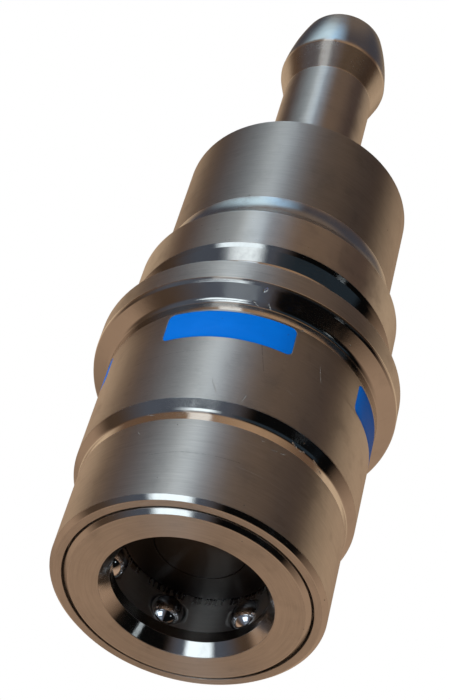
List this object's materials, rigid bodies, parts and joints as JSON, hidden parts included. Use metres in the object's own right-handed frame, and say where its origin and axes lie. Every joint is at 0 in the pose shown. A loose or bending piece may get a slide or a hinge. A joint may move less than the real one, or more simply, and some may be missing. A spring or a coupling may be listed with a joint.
{
  "type": "quick coupling socket",
  "caption": "Stainless ball-lock quick coupling socket with a flat-face valve, sliding sleeve, colour marks and a straight hose barb, for liquid cooling lines.",
  "frame": {"origin": "on the axis, in the plane of the mouth face that the coupling stands on", "axes": "+Z runs along the axis from the mouth to the hose barb; -Y points through the middle of the first colour mark"},
  "size_m": [0.0298, 0.0298, 0.087],
  "materials": {
    "body_steel": "satin turned stainless steel",
    "sleeve_steel": "satin stainless steel, brushed round the axis, with polished edges",
    "rear_steel": "satin stainless steel with a polished neck and hollow",
    "valve_steel": "face-turned stainless steel with fine rings",
    "ball_steel": "mirror-polished",
    "spring_steel": "drawn spring wire",
    "mark_enamel": "smooth blue enamel, let in flush",
    "seal_rubber": "moulded O-ring rubber"
  },
  "bodies": {
    "body": {"socket_body": "body_steel", "rear_body": "rear_steel", "valve_stem": "valve_steel", "stem_spider": "body_steel", "stem_nut": "body_steel", "stem_seal": "seal_rubber", "plug_seal": "seal_rubber", "body_seal": "seal_rubber", "sleeve_spring": "spring_steel", "valve_spring": "spring_steel"},
    "sleeve": {"locking_sleeve": "sleeve_steel", "colour_mark_1": "mark_enamel", "colour_mark_2": "mark_enamel", "colour_mark_3": "mark_enamel", "colour_mark_4": "mark_enamel"},
    "slider": {"valve_slider": "valve_steel"},
    "ball_1": {"locking_ball_1": "ball_steel"},
    "ball_2": {"locking_ball_2": "ball_steel"},
    "ball_3": {"locking_ball_3": "ball_steel"},
    "ball_4": {"locking_ball_4": "ball_steel"},
    "ball_5": {"locking_ball_5": "ball_steel"},
    "ball_6": {"locking_ball_6": "ball_steel"}
  },
  "joints": [
    {"name": "sleeve_pull", "type": "slide", "parent": "body", "child": "sleeve", "axis": [0, 0, 1], "range_m": [0, 0.0042], "stiffness_N_per_m": 2000, "springref_m": -0.004, "deforming": ["sleeve_spring"]},
    {"name": "valve_push", "type": "slide", "parent": "body", "child": "slider", "axis": [0, 0, 1], "range_m": [0, 0.006], "stiffness_N_per_m": 800, "springref_m": -0.006, "deforming": ["valve_spring"]},
    {"name": "ball_1_out", "type": "slide", "parent": "body", "child": "ball_1", "axis": [0.9945, -0.1045, 0], "range_m": [0, 0.00091]},
    {"name": "ball_2_out", "type": "slide", "parent": "body", "child": "ball_2", "axis": [0.5878, 0.809, 0], "range_m": [0, 0.00091]},
    {"name": "ball_3_out", "type": "slide", "parent": "body", "child": "ball_3", "axis": [-0.4067, 0.9135, 0], "range_m": [0, 0.00091]},
    {"name": "ball_4_out", "type": "slide", "parent": "body", "child": "ball_4", "axis": [-0.9945, 0.1045, 0], "range_m": [0, 0.00091]},
    {"name": "ball_5_out", "type": "slide", "parent": "body", "child": "ball_5", "axis": [-0.5878, -0.809, 0], "range_m": [0, 0.00091]},
    {"name": "ball_6_out", "type": "slide", "parent": "body", "child": "ball_6", "axis": [0.4067, -0.9135, 0], "range_m": [0, 0.00091]}
  ],
  "couplings": [
    {"joint": "ball_1_out", "follows": "sleeve_pull", "ratio": 0.21429},
    {"joint": "ball_2_out", "follows": "sleeve_pull", "ratio": 0.21429},
    {"joint": "ball_3_out", "follows": "sleeve_pull", "ratio": 0.21429},
    {"joint": "ball_4_out", "follows": "sleeve_pull", "ratio": 0.21429},
    {"joint": "ball_5_out", "follows": "sleeve_pull", "ratio": 0.21429},
    {"joint": "ball_6_out", "follows": "sleeve_pull", "ratio": 0.21429}
  ]
}
